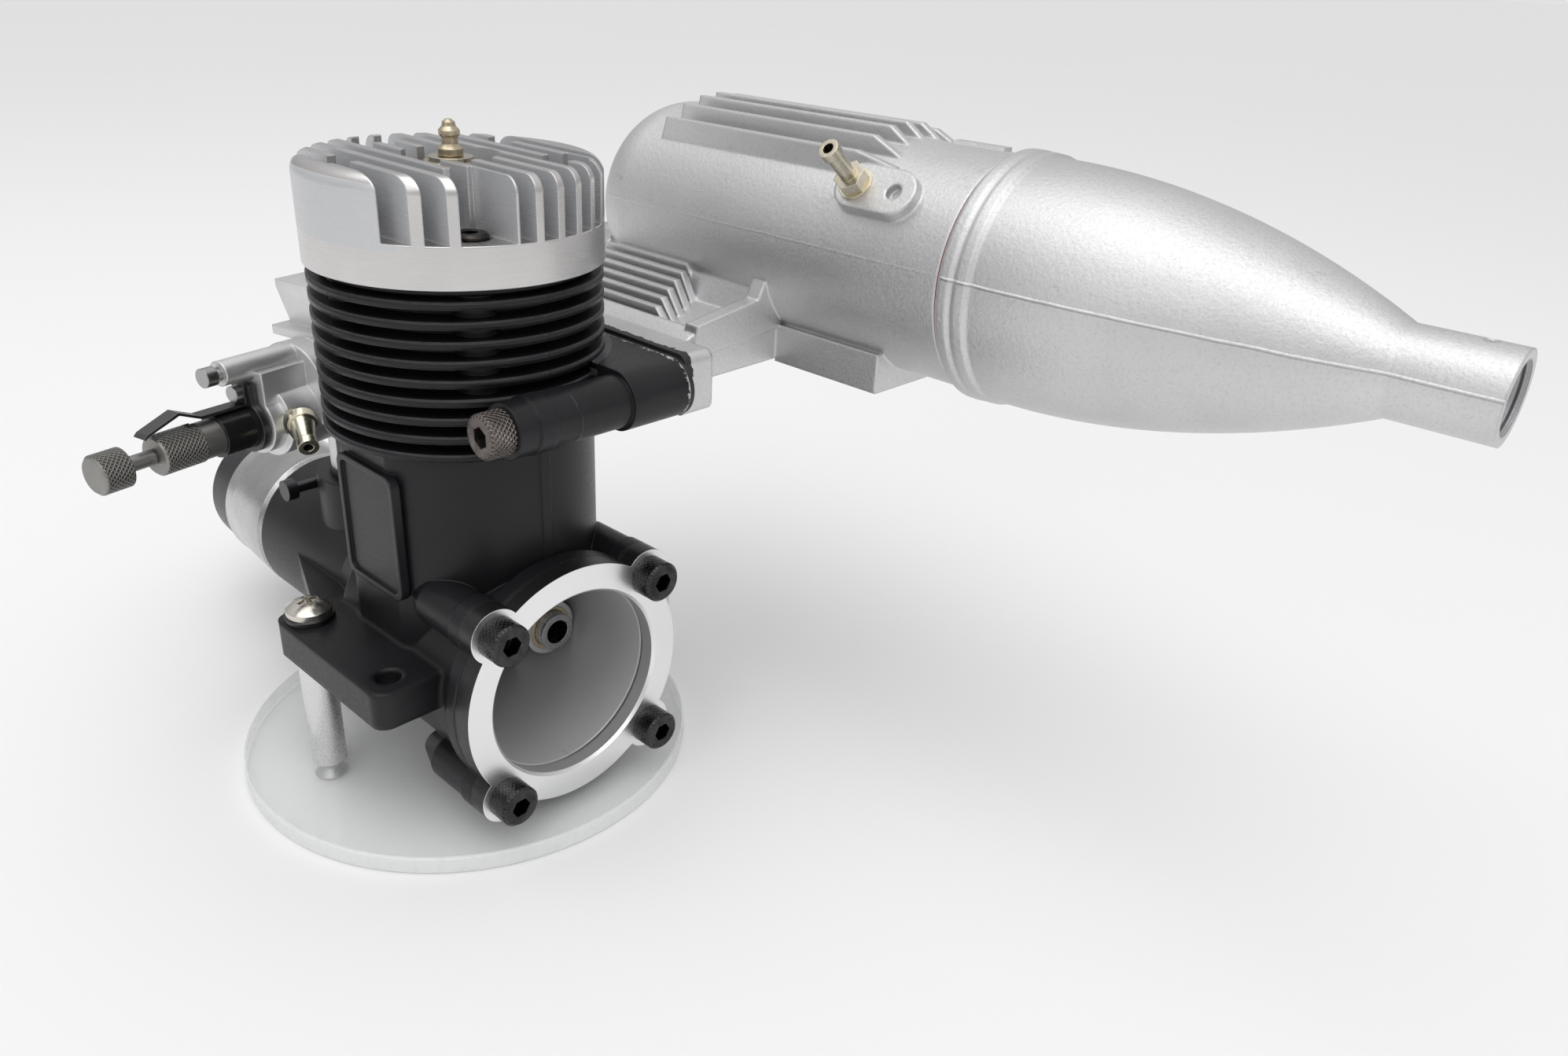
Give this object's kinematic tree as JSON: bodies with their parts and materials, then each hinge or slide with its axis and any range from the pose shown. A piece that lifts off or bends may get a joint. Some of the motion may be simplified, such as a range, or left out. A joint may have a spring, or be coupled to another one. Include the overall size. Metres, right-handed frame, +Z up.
{
  "type": "model aircraft engine",
  "caption": "Single-cylinder two-stroke glow engine with a finned black case, slotted head, carburettor and long side silencer, on posts above a clear round stand.",
  "frame": {"origin": "centre of the stand disc's underside", "axes": "+Z up along the cylinder, +Y forward along the crankshaft to the propeller end, +X to the exhaust side"},
  "size_m": [0.1367, 0.2295, 0.1136],
  "materials": {
    "case_black": "satin black over a fine cast surface",
    "liner_brass": "plated bore",
    "piston_aluminium": "turned",
    "ground_steel": "ground",
    "spring_steel": "drawn wire",
    "rod_aluminium": "forged",
    "bronze": "bored",
    "bearing_steel": "ground",
    "ball_chrome": "polished",
    "hub_aluminium": "polished",
    "steel": "plain",
    "washer_black": "anodised black",
    "nut_black": "blackened",
    "head_aluminium": "brushed, milled fins",
    "copper": "soft copper sheet",
    "head_screw_black": "blackened",
    "plug_nickel": "dull nickel",
    "plug_washer": "flat washer",
    "plug_terminal": "turned",
    "cover_aluminium": "faced, bright",
    "gasket_black": "sealant",
    "screw_black": "blackened",
    "carburettor_aluminium": "cast",
    "seal_rubber": "moulded ring",
    "rotor_steel": "ground",
    "arm_steel": "blackened",
    "brass": "turned",
    "needle_steel": "knurled",
    "sleeve_black": "moulded",
    "bracket_steel": "blackened sheet",
    "nipple_brass": "pale, turned",
    "gasket_fibre": "pressed fibre",
    "bolt_brown": "heat-stained, knurled",
    "silencer_cast": "bead blasted casting",
    "baffle_aluminium": "pressed sheet",
    "seal_red": "moulded ring",
    "acrylic": "clear acrylic, polished edge",
    "post_aluminium": "turned",
    "pan_screw_steel": "plated pan head",
    "washer_steel": "plated"
  },
  "bodies": {
    "engine": {"crankcase": "case_black", "cylinder_liner": "liner_brass", "rear_bearing_outer": "bearing_steel", "rear_bearing_balls": "ball_chrome", "front_bearing_outer": "bearing_steel", "front_bearing_balls": "ball_chrome", "cylinder_head": "head_aluminium", "head_gasket": "copper", "head_screws": "head_screw_black", "glow_plug_body": "plug_nickel", "glow_plug_washer": "plug_washer", "glow_plug_terminal": "plug_terminal", "rear_cover": "cover_aluminium", "rear_cover_gasket": "gasket_black", "rear_cover_screws": "screw_black", "carburettor_body": "carburettor_aluminium", "carburettor_seal": "seal_rubber", "carburettor_clamp_screw": "steel", "throttle_stop_screw": "steel", "needle_holder": "needle_steel", "needle_sleeve": "sleeve_black", "ratchet_spring": "spring_steel", "ratchet_bracket": "bracket_steel", "ratchet_bracket_screw": "steel", "fuel_nipple": "nipple_brass", "exhaust_gasket": "gasket_fibre", "silencer_bolts": "bolt_brown", "silencer_chamber": "silencer_cast", "silencer_baffle": "baffle_aluminium", "silencer_seal": "seal_red", "silencer_cone": "silencer_cast", "pressure_nipple": "plug_nickel", "pressure_nipple_washer": "copper", "stand_disc": "acrylic", "stand_posts": "post_aluminium", "stand_screws": "pan_screw_steel", "stand_washers": "washer_steel", "stand_base_screws": "steel"},
    "crank": {"crankshaft": "ground_steel", "drive_hub": "hub_aluminium", "hub_key": "steel", "prop_washer": "washer_black", "prop_nut": "nut_black", "rear_bearing_inner": "bearing_steel", "front_bearing_inner": "bearing_steel"},
    "piston": {"piston": "piston_aluminium", "wrist_pin": "ground_steel", "wrist_pin_clips": "spring_steel"},
    "rod": {"conrod": "rod_aluminium", "conrod_bushes": "bronze", "crank_pin": "ground_steel"},
    "throttle": {"throttle_rotor": "rotor_steel", "throttle_arm": "arm_steel", "throttle_arm_screw": "steel", "idle_needle": "brass"},
    "needle": {"needle_valve": "needle_steel"}
  },
  "joints": [
    {"name": "crank_spin", "type": "hinge", "parent": "engine", "child": "crank", "pos_m": [0, 0.034, 0.0263], "axis": [0, 1, 0], "continuous": true},
    {"name": "piston_travel", "type": "slide", "parent": "engine", "child": "piston", "axis": [0, 0, 1], "range_m": [0, 0.0154]},
    {"name": "rod_swing", "type": "hinge", "parent": "piston", "child": "rod", "pos_m": [0, -0.006, 0.06185], "axis": [0, 1, 0], "range_deg": [0, 15.53]},
    {"name": "throttle_turn", "type": "hinge", "parent": "engine", "child": "throttle", "pos_m": [0, 0.027, 0.0622], "axis": [0.9748, 0.2233, 0], "range_deg": [0, 80]},
    {"name": "needle_turn", "type": "hinge", "parent": "engine", "child": "needle", "pos_m": [-0.02924, 0.0203, 0.0622], "axis": [0.9748, 0.2233, 0], "range_deg": [0, 1080]}
  ],
  "couplings": [
    {"joint": "rod_swing", "follows": "piston_travel", "rad_per_m": 17.366}
  ]
}
